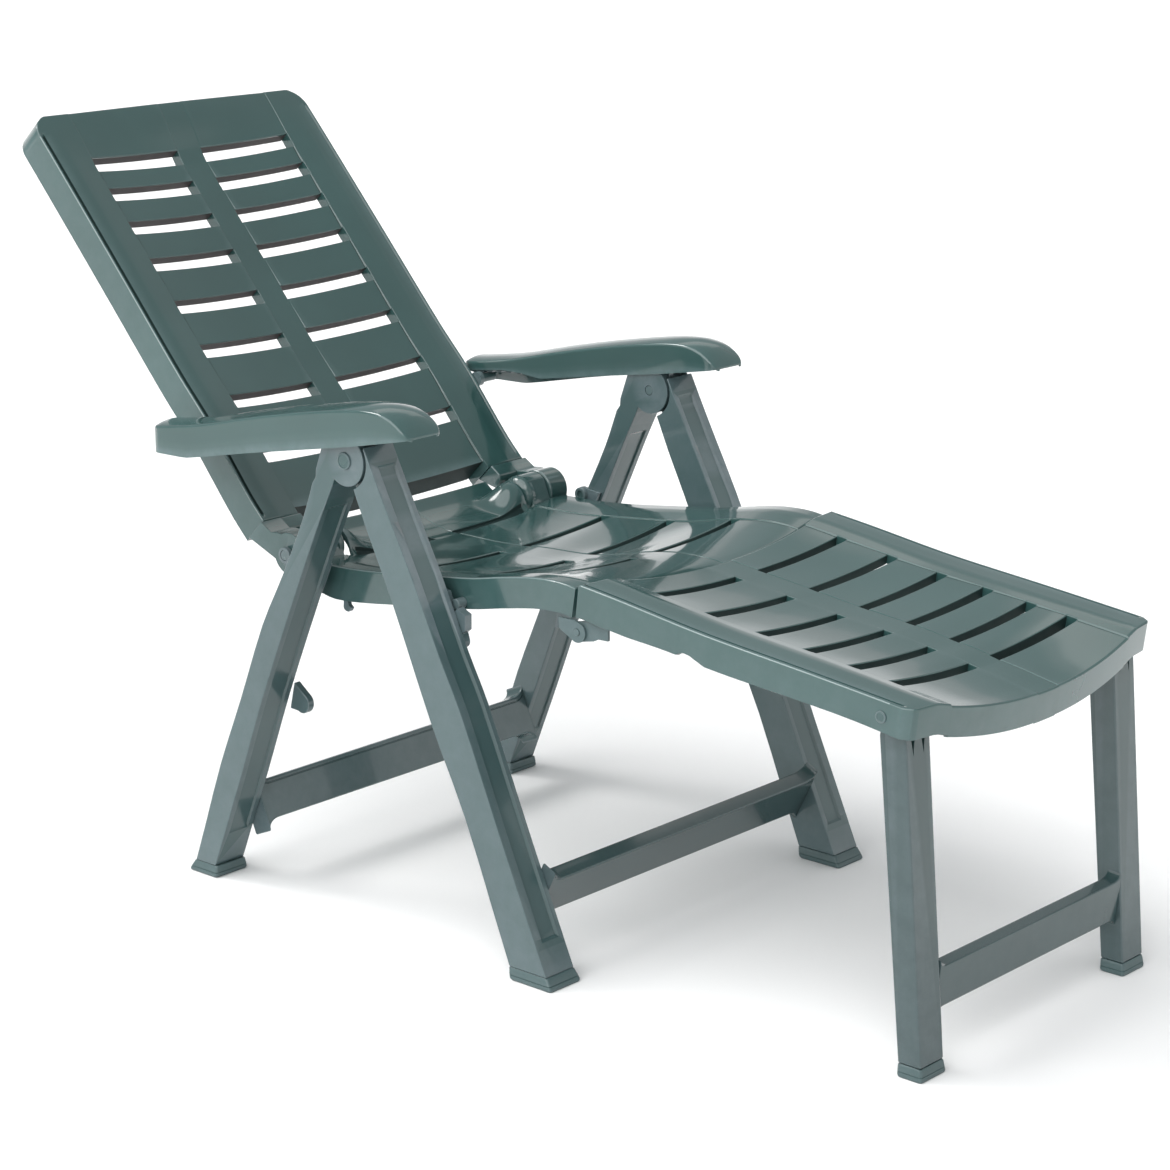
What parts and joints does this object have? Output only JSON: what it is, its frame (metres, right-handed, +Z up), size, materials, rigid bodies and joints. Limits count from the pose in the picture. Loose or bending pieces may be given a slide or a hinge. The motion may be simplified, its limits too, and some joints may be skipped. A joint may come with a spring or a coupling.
{
  "type": "reclining sun lounger",
  "caption": "Folding plastic sun lounger with a slotted reclining back, pivoting armrests, dished seat and a hinged footrest on folding support legs.",
  "frame": {"origin": "on the floor, under the centre of the bounding box", "axes": "+Z up, X across the width, -Y towards the footrest, so the person sits facing -Y and the sitter's right is -X"},
  "size_m": [0.6, 1.4145, 0.8962],
  "materials": {
    "panel_plastic": "glossy moulded dark green",
    "frame_plastic": "semi-gloss moulded dark green",
    "pin_plastic": "semi-gloss dark green",
    "foot_plastic": "satin dark green, worn on the sole"
  },
  "bodies": {
    "rear_frame": {"rear_leg_right": "frame_plastic", "rear_leg_left": "frame_plastic", "rear_foot_right": "foot_plastic", "rear_foot_left": "foot_plastic", "hinge_plate_right": "frame_plastic", "hinge_plate_left": "frame_plastic", "hinge_plate_rivet_right": "pin_plastic", "hinge_plate_rivet_left": "pin_plastic", "rear_leg_lug_right": "frame_plastic", "rear_leg_lug_left": "frame_plastic", "leg_pivot_pin_right": "pin_plastic", "leg_pivot_pin_left": "pin_plastic", "seat_hinge_pin_right": "pin_plastic", "seat_hinge_pin_left": "pin_plastic", "rear_stretcher": "frame_plastic"},
    "front_frame": {"front_leg_right": "frame_plastic", "front_leg_left": "frame_plastic", "front_foot_right": "foot_plastic", "front_foot_left": "foot_plastic", "seat_cradle_right": "frame_plastic", "seat_cradle_left": "frame_plastic", "front_stretcher": "frame_plastic"},
    "armrest_right": {"armrest_right": "panel_plastic", "armrest_lug_right": "frame_plastic", "armrest_notch_bar_right": "frame_plastic"},
    "armrest_left": {"armrest_left": "panel_plastic", "armrest_lug_left": "frame_plastic", "armrest_notch_bar_left": "frame_plastic"},
    "backrest": {"backrest_panel": "panel_plastic", "backrest_hinge_lug_right": "panel_plastic", "backrest_hinge_lug_left": "panel_plastic", "backrest_stud_right": "pin_plastic", "backrest_stud_left": "pin_plastic"},
    "seat": {"seat_panel": "panel_plastic", "seat_hinge_knuckle_right": "panel_plastic", "seat_hinge_knuckle_left": "panel_plastic", "seat_peg_right": "pin_plastic", "seat_peg_left": "pin_plastic", "seat_hook_right": "frame_plastic", "seat_hook_left": "frame_plastic", "seat_knee_lug_right": "frame_plastic", "seat_knee_lug_left": "frame_plastic"},
    "footrest": {"footrest_panel": "panel_plastic", "footrest_knee_lug_right": "frame_plastic", "footrest_knee_lug_left": "frame_plastic", "knee_pin_right": "pin_plastic", "knee_pin_left": "pin_plastic", "support_pin_right": "pin_plastic", "support_pin_left": "pin_plastic", "support_pin_head_right": "pin_plastic", "support_pin_head_left": "pin_plastic"},
    "footrest_legs": {"support_leg_right": "frame_plastic", "support_leg_left": "frame_plastic", "support_foot_right": "foot_plastic", "support_foot_left": "foot_plastic", "support_stretcher": "frame_plastic"}
  },
  "joints": [
    {"name": "front_legs_fold", "type": "hinge", "parent": "rear_frame", "child": "front_frame", "pos_m": [0, 0.0604, 0.562], "axis": [1, 0, 0], "range_deg": [0, 44]},
    {"name": "seat_lift", "type": "hinge", "parent": "rear_frame", "child": "seat", "pos_m": [0, 0.2164, 0.415], "axis": [1, 0, 0], "range_deg": [-58.5, 0]},
    {"name": "footrest_fold", "type": "hinge", "parent": "seat", "child": "footrest", "pos_m": [0, -0.2346, 0.402], "axis": [1, 0, 0], "range_deg": [0, 120.5]},
    {"name": "footrest_legs_fold", "type": "hinge", "parent": "footrest", "child": "footrest_legs", "pos_m": [0, -0.6513, 0.3922], "axis": [1, 0, 0], "range_deg": [0, 97.5]},
    {"name": "backrest_recline", "type": "hinge", "parent": "rear_frame", "child": "backrest", "pos_m": [0, 0.2164, 0.415], "axis": [1, 0, 0], "range_deg": [0, 26]},
    {"name": "armrest_right_tilt", "type": "hinge", "parent": "rear_frame", "child": "armrest_right", "pos_m": [0, 0.0604, 0.562], "axis": [1, 0, 0], "range_deg": [0, 10.2]},
    {"name": "armrest_left_tilt", "type": "hinge", "parent": "rear_frame", "child": "armrest_left", "pos_m": [0, 0.0604, 0.562], "axis": [1, 0, 0], "range_deg": [0, 10.2]}
  ],
  "couplings": [
    {"joint": "seat_lift", "follows": "front_legs_fold", "ratio": -1.3182},
    {"joint": "footrest_fold", "follows": "front_legs_fold", "ratio": 2.7273},
    {"joint": "footrest_legs_fold", "follows": "front_legs_fold", "ratio": 2.2045},
    {"joint": "armrest_right_tilt", "follows": "backrest_recline", "ratio": 0.38461},
    {"joint": "armrest_left_tilt", "follows": "backrest_recline", "ratio": 0.38461}
  ]
}
